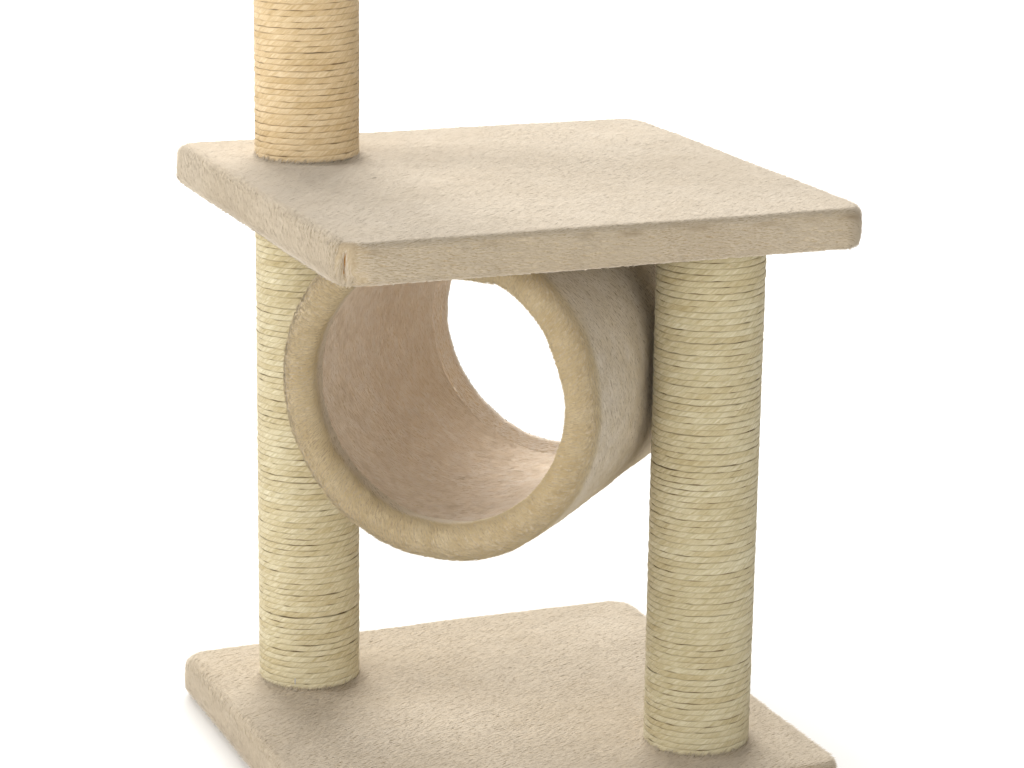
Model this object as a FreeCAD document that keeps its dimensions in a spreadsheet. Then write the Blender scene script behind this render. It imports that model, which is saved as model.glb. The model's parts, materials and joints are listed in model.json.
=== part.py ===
"""Cat tree: a square base, two rope-wound posts on one diagonal, a tunnel on the other, a platform, and a
third post that carries a small perch.

Frame: millimetres, +Z up. The origin is on the floor under the middle of the base. The plates' edges run
along X and Y. The left post stands at -X +Y with the upper post above it, and the right post at +X -Y. The
tunnel runs from the -X -Y corner to the +X +Y corner.
"""

import FreeCAD, Part

import math
import os

import Sketcher
from FreeCAD import Placement, Rotation, Vector

doc = FreeCAD.newDocument("CatTree")
nodes = {}

# ---------------------------------------------------------------- driving dimensions, in millimetres

SIZES = {
    # plates: particle board wrapped in plush, whose pile stands out on every side
    "board_side": 340,
    "board_thickness": 18,
    "board_corner": 14,
    "perch_side": 270,
    "pile": 5,
    "cover_edge": 6,
    "hem_past_tube": 1.5,
    # posts: cardboard tube, rope and a wooden plug in each end
    "post_length": 340,
    "upper_post_length": 340,
    "post_inset": 74,
    "tube_diameter": 61,
    "tube_wall": 4,
    "plug_thickness": 15,
    "rope_diameter": 4.5,
    "rope_pitch": 4.2,
    "rope_groove": 0.9,
    # tunnel: cardboard tube, pressed flat on top against the platform, in plush
    "tunnel_length": 229,
    "tunnel_gap": 0.5,
    "tunnel_pile": 5.5,
    "tunnel_wall": 5.5,
    "tunnel_flattening": 9,
    "tunnel_squeezed_pile": 3,
    "tunnel_lining": 6,
    "tunnel_hem": 10.5,
    "tunnel_hem_depth": 28,
    "tunnel_rim_pad": 8,
    "tunnel_rim_round": 8,
    "tunnel_bolt_inset": 54.5,
    # M8 fasteners in the posts
    "bolt_diameter": 8,
    "bolt_length": 45,
    "bolt_head": 14,
    "bolt_head_height": 4.4,
    "bolt_head_round": 1.8,
    "bolt_key": 5,
    "bolt_key_depth": 2.6,
    "washer_diameter": 24,
    "washer_thickness": 2,
    "counterbore": 26,
    "counterbore_depth": 4,
    "nut_flange": 22,
    "nut_flange_thickness": 1.5,
    "nut_barrel": 10,
    "nut_barrel_length": 9,
    "nut_prong": 2.8,
    "stud_reach": 24,
    "fastener_gap": 0.1,
    "hole_gap": 0.4,
    # M6 fasteners of the tunnel
    "small_bolt_diameter": 6,
    "small_bolt_tip": 3,
    "small_head": 12,
    "small_head_height": 3.5,
    "small_head_round": 1.4,
    "small_key": 4,
    "small_key_depth": 2,
    "small_washer": 30,
    "small_washer_thickness": 1.5,
    "small_flange": 18,
    "small_flange_thickness": 1.2,
    "small_barrel": 8,
    "small_barrel_length": 8,
    "small_prong": 2.2,
    # staples
    "staple_crown": 10,
    "staple_leg": 8,
    "staple_wire": 0.9,
    "staple_spacing": 48,
    "staple_inset": 30,
    "staple_sink": 0.5,
    "rope_staple_turn": -125,
}

sheet = doc.addObject("Spreadsheet::Sheet", "Sizes")
for row, (alias, number) in enumerate(SIZES.items(), 1):
    sheet.set(f"A{row}", alias)
    sheet.set(f"B{row}", str(number))
    sheet.setAlias(f"B{row}", alias)
doc.recompute()


def number(expression):
    """An expression of the driving dimensions as a number, for what Part's own functions build."""
    return float(sheet.evalExpression(expression.replace("Sizes.", "")))


def size(alias):
    """A driving dimension as a number."""
    return number(alias)


# Sizes and places that follow from the driving dimensions, as expressions.
PLATE = "(Sizes.board_thickness + 2 * Sizes.pile)"
PLATFORM_FLOOR = f"({PLATE} + Sizes.post_length)"
PLATFORM_TOP = f"({PLATFORM_FLOOR} + {PLATE})"
PERCH_FLOOR = f"({PLATFORM_TOP} + Sizes.upper_post_length)"
POST_RADIUS = "(Sizes.tube_diameter / 2 + Sizes.rope_diameter)"
POST_OFFSET = "(Sizes.board_side / 2 + Sizes.pile - Sizes.post_inset)"
PERCH_OFFSET = "((Sizes.board_side - Sizes.perch_side) / 2)"
# The folded hem reaches in just past the outermost side of the tubes, so that every post stands on its edge.
HEM = "(Sizes.post_inset - Sizes.tube_diameter / 2 + Sizes.hem_past_tube)"
CLEAR_RADIUS = "(Sizes.bolt_diameter / 2 + Sizes.hole_gap)"
SMALL_CLEAR_RADIUS = "(Sizes.small_bolt_diameter / 2 + Sizes.hole_gap)"
BARREL_RADIUS = "(Sizes.nut_barrel / 2 + Sizes.fastener_gap)"
SMALL_BARREL_RADIUS = "(Sizes.small_barrel / 2 + Sizes.fastener_gap)"
# How far a cutting solid runs past what it cuts.
PAST = "1"
# The tunnel fills the gap between the two lower posts. Each layer has a radius, and a height of its flat top
# above the tunnel's axis.
TUNNEL_RADIUS = f"(sqrt(2) * {POST_OFFSET} - {POST_RADIUS} - Sizes.tunnel_gap)"
TUBE_RADIUS = f"({TUNNEL_RADIUS} - Sizes.tunnel_pile)"
TUBE_FLAT = f"({TUBE_RADIUS} - Sizes.tunnel_flattening)"
TUNNEL_FLAT = f"({TUBE_FLAT} + Sizes.tunnel_squeezed_pile)"
TUNNEL_Z = f"({PLATFORM_FLOOR} - {TUNNEL_FLAT})"
BORE_FLAT = f"({TUBE_FLAT} - Sizes.tunnel_wall)"
TUNNEL_BOLT_XY = "((Sizes.tunnel_length / 2 - Sizes.tunnel_bolt_inset) / sqrt(2))"
TUNNEL_DIRECTION = Vector(1, 1, 0)

LEFT_POST = (f"-{POST_OFFSET}", POST_OFFSET)
RIGHT_POST = (POST_OFFSET, f"-{POST_OFFSET}")
TUNNEL_BOLTS = [(f"-{TUNNEL_BOLT_XY}", f"-{TUNNEL_BOLT_XY}"), (TUNNEL_BOLT_XY, TUNNEL_BOLT_XY)]
PERCH_CENTRE = (f"-{PERCH_OFFSET}", PERCH_OFFSET)
PLATE_CENTRE = ("0", "0")


# ---------------------------------------------------------------- helpers for the document's objects


def bind(thing, **properties):
    """Ties properties to expressions. A double underscore stands for a dot in the property's path."""
    for name, expression in properties.items():
        thing.setExpression(name.replace("__", "."), expression)
    return thing


def place(thing, x="0", y="0", z="0"):
    """Ties a thing's position to expressions."""
    return bind(thing, Placement__Base__x=x, Placement__Base__y=y, Placement__Base__z=z)


def piece(label, thing):
    """Names a sub-part, so that it is checked and written to a file of that name."""
    thing.Label = label
    nodes[label] = thing
    return thing


def cylinder(radius, height, x="0", y="0", z="0"):
    """An upright cylinder that stands on z."""
    made = doc.addObject("Part::Cylinder", "Cylinder")
    return place(bind(made, Radius=radius, Height=height), x, y, z)


def block(length, width, height, x="0", y="0", z="0"):
    """A block centred on x and y that stands on z."""
    made = doc.addObject("Part::Box", "Box")
    bind(made, Length=length, Width=width, Height=height)
    return place(made, f"{x} - ({length}) / 2", f"{y} - ({width}) / 2", z)


def together(*things):
    """Several solids fused into one."""
    made = doc.addObject("Part::MultiFuse", "Fusion")
    made.Shapes = list(things)
    return made


def group(*things):
    """Several like solids kept apart in one sub-part."""
    made = doc.addObject("Part::Compound", "Group")
    made.Links = list(things)
    return made


def minus(thing, *tools):
    """A solid with one or more others cut out of it."""
    made = doc.addObject("Part::Cut", "Cut")
    made.Base = thing
    made.Tool = tools[0] if len(tools) == 1 else together(*tools)
    return made


def both(thing, other):
    """What two solids have in common."""
    made = doc.addObject("Part::Common", "Common")
    made.Base, made.Tool = thing, other
    return made


def rounded(thing, radius, chosen):
    """A solid with the chosen edges rounded. chosen takes an edge and says whether it is one."""
    doc.recompute()
    made = doc.addObject("Part::Fillet", "Fillet")
    made.Base = thing
    made.Edges = [(n, radius, radius) for n, edge in enumerate(thing.Shape.Edges, 1) if chosen(edge)]
    return made


def upright(edge):
    """Whether an edge runs along Z."""
    return abs(abs(edge.tangentAt(edge.FirstParameter).z) - 1) < 1e-6


# ---------------------------------------------------------------- boards


def corner_of_square(sketch, side):
    """Draws a square centred on the sketch's origin, with its side tied to an expression."""
    half = 50
    corners = [Vector(-half, -half), Vector(half, -half), Vector(half, half), Vector(-half, half)]
    for n in range(4):
        sketch.addGeometry(Part.LineSegment(corners[n], corners[(n + 1) % 4]))
    for n in range(4):
        sketch.addConstraint(Sketcher.Constraint("Coincident", n, 2, (n + 1) % 4, 1))
        sketch.addConstraint(Sketcher.Constraint("Vertical" if n % 2 else "Horizontal", n))
    sketch.addConstraint(Sketcher.Constraint("Symmetric", 0, 1, 1, 2, -1, 1))
    for kind, line in (("DistanceX", 0), ("DistanceY", 1)):
        added = sketch.addConstraint(Sketcher.Constraint(kind, line, 1, line, 2, 2.0 * half))
        sketch.setExpression(f"Constraints[{added}]", side)


def on_floor_plane(body, name):
    """A new sketch on the body's own XY plane."""
    sketch = body.newObject("Sketcher::SketchObject", name)
    plane = next(f for f in body.Origin.OriginFeatures if f.Role == "XY_Plane")
    sketch.AttachmentSupport, sketch.MapMode = [(plane, "")], "FlatFace"
    return sketch


def circle_at(sketch, x, y, radius):
    """Draws a circle with its centre and radius tied to expressions. A leading minus turns it round."""
    ring = sketch.addGeometry(Part.Circle(Vector(1, 1), Vector(0, 0, 1), 1))
    for kind, distance in (("DistanceX", x), ("DistanceY", y)):
        ends = (ring, 3, -1, 1) if distance.startswith("-") else (-1, 1, ring, 3)
        added = sketch.addConstraint(Sketcher.Constraint(kind, *ends, 1.0))
        sketch.setExpression(f"Constraints[{added}]", distance.lstrip("-"))
    added = sketch.addConstraint(Sketcher.Constraint("Radius", ring, 1.0))
    sketch.setExpression(f"Constraints[{added}]", radius)


def pocket(body, name, holes, depth, start="0"):
    """Cuts round holes upwards from a height above the board's underside."""
    sketch = on_floor_plane(body, name + "Sketch")
    sketch.setExpression("AttachmentOffset.Base.z", start)
    for x, y, radius in holes:
        circle_at(sketch, x, y, radius)
    doc.recompute()
    before = body.Shape.Volume
    made = body.newObject("PartDesign::Pocket", name)
    made.Profile, made.Reversed = sketch, True
    made.setExpression("Length", depth)
    doc.recompute()
    if not body.Shape.Volume < before:
        raise ValueError(f"{name} cuts nothing")


def board(label, side, centre, floor, pockets):
    """A square particle board with rounded corners, drilled as listed, one pile's depth above floor."""
    body = doc.addObject("PartDesign::Body", "Board")
    sketch = on_floor_plane(body, "Outline")
    corner_of_square(sketch, side)
    pad = body.newObject("PartDesign::Pad", "Thickness")
    pad.Profile = sketch
    pad.setExpression("Length", "Sizes.board_thickness")
    doc.recompute()
    corners = body.newObject("PartDesign::Fillet", "Corners")
    edges = [f"Edge{n}" for n, edge in enumerate(pad.Shape.Edges, 1) if upright(edge)]
    corners.Base = (pad, edges)
    corners.setExpression("Radius", "Sizes.board_corner")
    doc.recompute()
    for name, holes, depth, start in pockets:
        pocket(body, name, holes, depth, start)
    return piece(label, place(body, *centre, f"{floor} + Sizes.pile"))


def flush_nuts(x, y, kind):
    """The pockets of a captive nut flush with a board's top: the barrel's hole and the flange's recess."""
    flange, thickness, radius = {
        "large": ("Sizes.nut_flange", "Sizes.nut_flange_thickness", BARREL_RADIUS),
        "small": ("Sizes.small_flange", "Sizes.small_flange_thickness", SMALL_BARREL_RADIUS),
    }[kind]
    recess = f"({flange} / 2 + Sizes.hole_gap)"
    return (x, y, radius), (x, y, recess), thickness


def nut_pockets(name, places, kind):
    """The two pockets of a row of flush captive nuts."""
    made = [flush_nuts(x, y, kind) for x, y in places]
    thickness = made[0][2]
    return [
        (name + "Holes", [m[0] for m in made], "Sizes.board_thickness", "0"),
        (name + "Recess", [m[1] for m in made], thickness, f"Sizes.board_thickness - {thickness}"),
    ]


board(
    "base_board",
    "Sizes.board_side",
    PLATE_CENTRE,
    "0",
    [
        ("BoltHoles", [(*p, CLEAR_RADIUS) for p in (LEFT_POST, RIGHT_POST)], "Sizes.board_thickness", "0"),
        (
            "Counterbores",
            [(*p, "Sizes.counterbore / 2") for p in (LEFT_POST, RIGHT_POST)],
            "Sizes.counterbore_depth",
            "0",
        ),
    ],
)
board(
    "platform_board",
    "Sizes.board_side",
    PLATE_CENTRE,
    PLATFORM_FLOOR,
    [("StudHole", [(*LEFT_POST, CLEAR_RADIUS)], "Sizes.board_thickness", "0")]
    + nut_pockets("PostNut", [RIGHT_POST], "large")
    + nut_pockets("TunnelNut", TUNNEL_BOLTS, "small"),
)
# On the perch's own board the post stands off the middle towards -X +Y.
PERCH_POST_OFFSET = "(Sizes.perch_side / 2 + Sizes.pile - Sizes.post_inset)"
board(
    "perch_board",
    "Sizes.perch_side",
    PERCH_CENTRE,
    PERCH_FLOOR,
    nut_pockets("PostNut", [(f"-{PERCH_POST_OFFSET}", PERCH_POST_OFFSET)], "large"),
)


# ---------------------------------------------------------------- plush covers of the plates


def cover(label, side, centre, floor, holes):
    """Plush round a board: a rounded slab less the board, open underneath inside the folded hem."""
    outer = f"({side} + 2 * Sizes.pile)"
    slab = rounded(
        block(outer, outer, PLATE, *centre, floor), size("board_corner") + size("pile"), upright
    )
    slab = rounded(slab, size("cover_edge"), lambda edge: not upright(edge))
    cavity = rounded(
        block(side, side, "Sizes.board_thickness", *centre, f"{floor} + Sizes.pile"),
        size("board_corner"),
        upright,
    )
    window = f"({outer} - 2 * {HEM})"
    opening = block(window, window, "Sizes.pile", *centre, floor)
    through = [cylinder(CLEAR_RADIUS, PLATE, x, y, floor) for x, y in holes]
    return piece(label, minus(slab, cavity, opening, *through))


def under_panel(label, side, centre, floor, holes):
    """A plush square glued under the board inside the hem, drilled for what passes through it."""
    window = f"({side} + 2 * Sizes.pile - 2 * {HEM})"
    panel = block(window, window, "Sizes.pile", *centre, floor)
    through = [cylinder(radius, "Sizes.pile", x, y, floor) for x, y, radius in holes]
    return piece(label, minus(panel, *through))


cover("base_cover", "Sizes.board_side", PLATE_CENTRE, "0", [LEFT_POST, RIGHT_POST])
cover("platform_cover", "Sizes.board_side", PLATE_CENTRE, PLATFORM_FLOOR, [LEFT_POST])
cover("perch_cover", "Sizes.perch_side", PERCH_CENTRE, PERCH_FLOOR, [])
under_panel(
    "platform_under_panel",
    "Sizes.board_side",
    PLATE_CENTRE,
    PLATFORM_FLOOR,
    [(*p, CLEAR_RADIUS) for p in (LEFT_POST, RIGHT_POST)]
    + [(*p, SMALL_CLEAR_RADIUS) for p in TUNNEL_BOLTS],
)
under_panel("perch_under_panel", "Sizes.perch_side", PERCH_CENTRE, PERCH_FLOOR, [(*LEFT_POST, CLEAR_RADIUS)])


# ---------------------------------------------------------------- posts


def rope_sleeve(label, length, x, y, z):
    """The rope wound on a post, as a sleeve with one bulge for each turn."""
    doc.recompute()
    core = size("tube_diameter") / 2
    outer = core + size("rope_diameter")
    turns = round(size(length) / size("rope_pitch"))
    pitch = size(length) / turns
    valley = outer - size("rope_groove")
    edges = [
        Part.LineSegment(Vector(valley, 0, 0), Vector(core, 0, 0)),
        Part.LineSegment(Vector(core, 0, 0), Vector(core, 0, size(length))),
        Part.LineSegment(Vector(core, 0, size(length)), Vector(valley, 0, size(length))),
    ]
    for turn in range(turns):
        low, high = turn * pitch, (turn + 1) * pitch
        edges.append(
            Part.Arc(Vector(valley, 0, low), Vector(outer, 0, (low + high) / 2), Vector(valley, 0, high))
        )
    profile = Part.Face(Part.Wire(Part.__sortEdges__([edge.toShape() for edge in edges])))
    made = doc.addObject("Part::Feature", "Rope")
    made.Shape = profile.revolve(Vector(0, 0, 0), Vector(0, 0, 1), 360)
    return piece(label, place(made, x, y, z))


def plug(label, x, y, z):
    """A wooden disc pressed into a tube's end, drilled for its captive nut."""
    radius = "(Sizes.tube_diameter / 2 - Sizes.tube_wall)"
    disc = cylinder(radius, "Sizes.plug_thickness", x, y, z)
    return piece(label, minus(disc, cylinder(BARREL_RADIUS, "Sizes.plug_thickness", x, y, z)))


def post(label, length, x, y, floor):
    """A post that stands on floor: tube, rope and two plugs."""
    length_of = f"Sizes.{length}"
    tube = cylinder("Sizes.tube_diameter / 2", length_of, x, y, floor)
    bore = cylinder("Sizes.tube_diameter / 2 - Sizes.tube_wall", length_of, x, y, floor)
    piece(label + "_tube", minus(tube, bore))
    rope_sleeve(label + "_rope", length, x, y, floor)
    plug(label + "_bottom_plug", x, y, floor)
    plug(label + "_top_plug", x, y, f"{floor} + {length_of} - Sizes.plug_thickness")


post("left_post", "post_length", *LEFT_POST, PLATE)
post("right_post", "post_length", *RIGHT_POST, PLATE)
post("upper_post", "upper_post_length", *LEFT_POST, PLATFORM_TOP)


# ---------------------------------------------------------------- tunnel


def tunnel_slug(radius, length, flat):
    """A solid along the tunnel's axis, round below and cut flat on top at a height above the axis."""
    round_part = doc.addObject("Part::Cylinder", "TunnelRound")
    bind(round_part, Radius=radius, Height=length)
    round_part.Placement = Placement(Vector(), Rotation(Vector(0, 0, 1), TUNNEL_DIRECTION))
    back = f"-({length}) / 2 / sqrt(2)"
    place(round_part, back, back, TUNNEL_Z)
    depth = f"({radius} + {PAST})"
    below = block(f"2 * {length}", f"2 * {length}", f"{depth} + {flat}", z=f"{TUNNEL_Z} - {depth}")
    return both(round_part, below)


def at_tunnel_end(edge):
    """Whether an edge lies in the plane of one of the tunnel's mouths."""
    along = [abs(v.Point.dot(TUNNEL_DIRECTION)) / math.sqrt(2) for v in edge.Vertexes]
    return all(abs(a - size("tunnel_length") / 2) < 1e-3 for a in along)


def tunnel():
    """Cardboard tube, its outer plush turned over both ends, the lining, and the holes of the two bolts."""
    long = "Sizes.tunnel_length"
    tube_long = "(Sizes.tunnel_length - 2 * Sizes.tunnel_rim_pad)"
    lining_long = "(Sizes.tunnel_length - 2 * Sizes.tunnel_hem_depth)"
    bore = f"({TUBE_RADIUS} - Sizes.tunnel_wall)"
    lining_bore = f"({bore} - Sizes.tunnel_lining)"
    lining_flat = f"({BORE_FLAT} - Sizes.tunnel_lining)"
    hem_bore = f"({bore} - Sizes.tunnel_hem)"
    hem_flat = f"({BORE_FLAT} - Sizes.tunnel_hem)"

    def bolt_holes(radius):
        """Cutters for the two bolts, from the tunnel's axis up past the platform's underside."""
        return [cylinder(radius, f"{TUNNEL_FLAT} + {PAST}", x, y, TUNNEL_Z) for x, y in TUNNEL_BOLTS]

    def wall():
        """The cardboard tube before it is drilled."""
        return minus(
            tunnel_slug(TUBE_RADIUS, tube_long, TUBE_FLAT),
            tunnel_slug(bore, f"{tube_long} + 2 * {PAST}", BORE_FLAT),
        )

    piece("tunnel_tube", minus(wall(), *bolt_holes(SMALL_CLEAR_RADIUS)))
    shell = minus(
        tunnel_slug(TUNNEL_RADIUS, long, TUNNEL_FLAT),
        tunnel_slug(hem_bore, f"{long} + 2 * {PAST}", hem_flat),
    )
    piece(
        "tunnel_outer_plush",
        minus(
            rounded(shell, size("tunnel_rim_round"), at_tunnel_end),
            wall(),
            tunnel_slug(bore, lining_long, BORE_FLAT),
            *bolt_holes(SMALL_CLEAR_RADIUS),
        ),
    )
    piece(
        "tunnel_lining",
        minus(
            tunnel_slug(bore, lining_long, BORE_FLAT),
            tunnel_slug(lining_bore, f"{lining_long} + 2 * {PAST}", lining_flat),
            *bolt_holes("(Sizes.small_washer / 2 + Sizes.hole_gap)"),
        ),
    )


tunnel()


# ---------------------------------------------------------------- fasteners


def captive_nut(x, y, z, up, kind="large"):
    """A pronged captive nut. Its flange's back lies at z, and its barrel points up or down from there."""
    flange, thick, barrel, long, bolt, prong = {
        "large": (
            "Sizes.nut_flange",
            "Sizes.nut_flange_thickness",
            "Sizes.nut_barrel",
            "Sizes.nut_barrel_length",
            "Sizes.bolt_diameter",
            "Sizes.nut_prong",
        ),
        "small": (
            "Sizes.small_flange",
            "Sizes.small_flange_thickness",
            "Sizes.small_barrel",
            "Sizes.small_barrel_length",
            "Sizes.small_bolt_diameter",
            "Sizes.small_prong",
        ),
    }[kind]
    plate_z = z if up else f"{z} - {thick}"
    barrel_z = z if up else f"{z} - {thick} - {long}"
    prong_z = f"{z} + {thick}" if up else f"{z} - {thick} - {prong}"
    reach = f"(({flange} + {barrel}) / 4)"
    prongs = [
        block(prong, prong, prong, f"{x} + {reach} * {dx}", f"{y} + {reach} * {dy}", prong_z)
        for dx, dy in ((1, 0), (0, 1), (-1, 0), (0, -1))
    ]
    body = together(
        cylinder(f"{flange} / 2", thick, x, y, plate_z),
        cylinder(f"{barrel} / 2", f"{long} + {thick}", x, y, barrel_z),
        *prongs,
    )
    return minus(body, cylinder(f"{bolt} / 2", f"{long} + {thick}", x, y, barrel_z))


def bolt(x, y, seat, reach, diameter, head, key):
    """A button-head bolt that points up: its head hangs below seat and its shank reaches up from there.

    head gives the head's diameter, height and rounding, and key the diameter and depth of its socket.
    """
    across, tall, rounding = head
    shank = cylinder(f"{diameter} / 2 - Sizes.fastener_gap", reach, x, y, seat)
    cap = cylinder(f"{across} / 2", tall, x, y, f"{seat} - {tall}")
    middle = number(f"{seat} - {tall} / 2")
    cap = rounded(cap, number(rounding), lambda edge: edge.BoundBox.ZMax < middle)
    socket = cylinder(f"{key[0]} / 2", key[1], x, y, f"{seat} - {tall}")
    return minus(together(shank, cap), socket)


def ring(outer, hole, thick, x, y, z):
    """A flat washer that lies on z."""
    return minus(cylinder(f"{outer} / 2", thick, x, y, z), cylinder(hole, thick, x, y, z))


def stud(label, x, y, low, high):
    """A headless threaded stud between two heights."""
    shank = cylinder("Sizes.bolt_diameter / 2 - Sizes.fastener_gap", f"{high} - {low}", x, y, low)
    return piece(label, shank)


# The washers of the base lie against the roof of the counterbores, and the bolt heads under them.
COUNTERBORE_ROOF = "(Sizes.pile + Sizes.counterbore_depth)"
BOLT_SEAT = f"({COUNTERBORE_ROOF} - Sizes.washer_thickness)"
BASE_POSTS = (LEFT_POST, RIGHT_POST)
piece(
    "base_washers",
    group(
        *[
            ring("Sizes.washer_diameter", CLEAR_RADIUS, "Sizes.washer_thickness", *p, BOLT_SEAT)
            for p in BASE_POSTS
        ]
    ),
)
piece(
    "base_bolts",
    group(
        *[
            bolt(
                *p,
                BOLT_SEAT,
                "Sizes.bolt_length",
                "Sizes.bolt_diameter",
                ("Sizes.bolt_head", "Sizes.bolt_head_height", "Sizes.bolt_head_round"),
                ("Sizes.bolt_key", "Sizes.bolt_key_depth"),
            )
            for p in BASE_POSTS
        ]
    ),
)

# A plug's nut has its flange on the plug's inner face, so that the bolt pulls it tight.
NUT_BACK = "(Sizes.plug_thickness + Sizes.nut_flange_thickness)"
piece(
    "post_captive_nuts",
    group(
        *[captive_nut(*p, f"{PLATE} + {NUT_BACK}", up=False) for p in BASE_POSTS],
        *[captive_nut(*p, f"{PLATFORM_FLOOR} - {NUT_BACK}", up=True) for p in BASE_POSTS],
        captive_nut(*LEFT_POST, f"{PLATFORM_TOP} + {NUT_BACK}", up=False),
        captive_nut(*LEFT_POST, f"{PERCH_FLOOR} - {NUT_BACK}", up=True),
    ),
)
BOARD_TOP = "(Sizes.pile + Sizes.board_thickness)"
piece("platform_captive_nut", captive_nut(*RIGHT_POST, f"{PLATFORM_FLOOR} + {BOARD_TOP}", up=False))
piece("perch_captive_nut", captive_nut(*LEFT_POST, f"{PERCH_FLOOR} + {BOARD_TOP}", up=False))
piece(
    "tunnel_captive_nuts",
    group(
        *[captive_nut(*p, f"{PLATFORM_FLOOR} + {BOARD_TOP}", up=False, kind="small") for p in TUNNEL_BOLTS]
    ),
)

stud(
    "through_stud",
    *LEFT_POST,
    f"({PLATFORM_FLOOR} - Sizes.stud_reach)",
    f"({PLATFORM_TOP} + Sizes.stud_reach)",
)
STUD_TOP = "(Sizes.pile + Sizes.board_thickness - Sizes.nut_flange_thickness)"
stud(
    "right_post_stud",
    *RIGHT_POST,
    f"({PLATFORM_FLOOR} - Sizes.stud_reach)",
    f"({PLATFORM_FLOOR} + {STUD_TOP})",
)
stud("upper_post_stud", *LEFT_POST, f"({PERCH_FLOOR} - Sizes.stud_reach)", f"({PERCH_FLOOR} + {STUD_TOP})")

# Inside the tunnel the large washers lie against the cardboard's flat top.
TUNNEL_CEILING = f"({TUNNEL_Z} + {BORE_FLAT})"
TUNNEL_SEAT = f"({TUNNEL_CEILING} - Sizes.small_washer_thickness)"
piece(
    "tunnel_washers",
    group(
        *[
            ring("Sizes.small_washer", SMALL_CLEAR_RADIUS, "Sizes.small_washer_thickness", *p, TUNNEL_SEAT)
            for p in TUNNEL_BOLTS
        ]
    ),
)
TUNNEL_BOLT_REACH = f"({PLATFORM_FLOOR} + {BOARD_TOP} - Sizes.small_bolt_tip - {TUNNEL_SEAT})"
piece(
    "tunnel_bolts",
    group(
        *[
            bolt(
                *p,
                TUNNEL_SEAT,
                TUNNEL_BOLT_REACH,
                "Sizes.small_bolt_diameter",
                ("Sizes.small_head", "Sizes.small_head_height", "Sizes.small_head_round"),
                ("Sizes.small_key", "Sizes.small_key_depth"),
            )
            for p in TUNNEL_BOLTS
        ]
    ),
)


# ---------------------------------------------------------------- staples


def staple(middle, across, inwards, opening=0):
    """A wire staple: its crown is centred on middle and runs along across, and its legs point inwards.

    With an opening it is the slot that such a staple is let into, open that far outwards over the crown.
    """
    wire, crown, leg = size("staple_wire"), size("staple_crown"), size("staple_leg")
    bar = Part.makeBox(crown, wire, wire + opening, Vector(-crown / 2, -wire / 2, -opening))
    legs = [
        Part.makeBox(wire, wire, leg, Vector(side * (crown - wire) / 2 - wire / 2, -wire / 2, 0))
        for side in (-1, 1)
    ]
    made = bar.fuse(legs).removeSplitter()
    made.Placement = Placement(middle, Rotation(across, across.cross(inwards), inwards, "XZY"))
    return made


def staples(label, spots):
    """A sub-part of staples at the given spots, and the slots for them."""
    made = doc.addObject("Part::Feature", "Staples")
    made.Shape = Part.makeCompound([staple(*spot) for spot in spots])
    piece(label, made)
    slots = doc.addObject("Part::Feature", "StapleSlots")
    slots.Shape = Part.makeCompound([staple(*spot, opening=size("pile")) for spot in spots])
    return slots


def hem_spots(side, centre, floor):
    """Where a cover's folded hem is stapled to its board: evenly along the four sides."""
    half = size(side) / 2 + size("pile") - size("staple_inset")
    count = max(2, round(2 * half / size("staple_spacing")))
    middle = Vector(*[number(c) for c in centre], number(floor) + size("staple_sink"))
    up = Vector(0, 0, 1)
    spots = []
    for quarter in range(4):
        across = Rotation(up, 90 * quarter).multVec(Vector(1, 0, 0))
        outwards = across.cross(up)
        for n in range(count):
            along = ((n + 0.5) / count - 0.5) * 2 * half
            spots.append((middle + across * along + outwards * half, across, up))
    return spots


def rope_spots(x, y, floor, length, degrees):
    """Where a post's rope is stapled: upright across its first and last turns, on opposite sides."""
    spots = []
    for end in (0, 1):
        turned = math.radians(degrees + 180 * end)
        outwards = Vector(math.cos(turned), math.sin(turned), 0)
        height = number(floor) + size("staple_crown") / 2 + end * (size(length) - size("staple_crown"))
        on_rope = outwards * (number(POST_RADIUS) - size("staple_wire") / 2)
        spots.append((Vector(number(x), number(y), height) + on_rope, Vector(0, 0, 1), -outwards))
    return spots


base_slots = staples("base_staples", hem_spots("board_side", PLATE_CENTRE, "0"))
platform_slots = staples("platform_staples", hem_spots("board_side", PLATE_CENTRE, PLATFORM_FLOOR))
perch_slots = staples("perch_staples", hem_spots("perch_side", PERCH_CENTRE, PERCH_FLOOR))
turn = size("rope_staple_turn")
rope_slots = staples(
    "rope_staples",
    rope_spots(*LEFT_POST, PLATE, "post_length", turn)
    + rope_spots(*RIGHT_POST, PLATE, "post_length", turn + 180)
    + rope_spots(*LEFT_POST, PLATFORM_TOP, "upper_post_length", turn + 180),
)


# ---------------------------------------------------------------- seats of what is driven in


def let_in(label, *tools):
    """Cuts the seats of staples or of a nut's prongs into a finished sub-part."""
    blank = nodes[label]
    blank.Label = label + "_blank"
    piece(label, minus(blank, *tools))


for plate, slots in (("base", base_slots), ("platform", platform_slots), ("perch", perch_slots)):
    let_in(plate + "_cover", slots)
let_in("base_board", base_slots)
let_in("platform_board", platform_slots, nodes["platform_captive_nut"], nodes["tunnel_captive_nuts"])
let_in("perch_board", perch_slots, nodes["perch_captive_nut"])
for label in ("left_post", "right_post", "upper_post"):
    for part in ("_tube", "_rope"):
        let_in(label + part, rope_slots)
    for part in ("_bottom_plug", "_top_plug"):
        let_in(label + part, nodes["post_captive_nuts"])


# ---------------------------------------------------------------- check and write

doc.recompute()
broken = [o.Name for o in doc.Objects if {"Invalid", "Error"} & set(o.State)]
if broken:
    raise ValueError(f"these objects failed: {broken}")
for label, thing in nodes.items():
    if thing.Shape.isNull() or not thing.Shape.isValid() or not thing.Shape.Solids:
        raise ValueError(f"{label} has no valid solid")

os.makedirs("parts", exist_ok=True)
for label, thing in nodes.items():
    thing.Shape.exportStep(f"parts/{label}.step")
print(len(nodes), "sub-parts written")
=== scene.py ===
import json
import math

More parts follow.
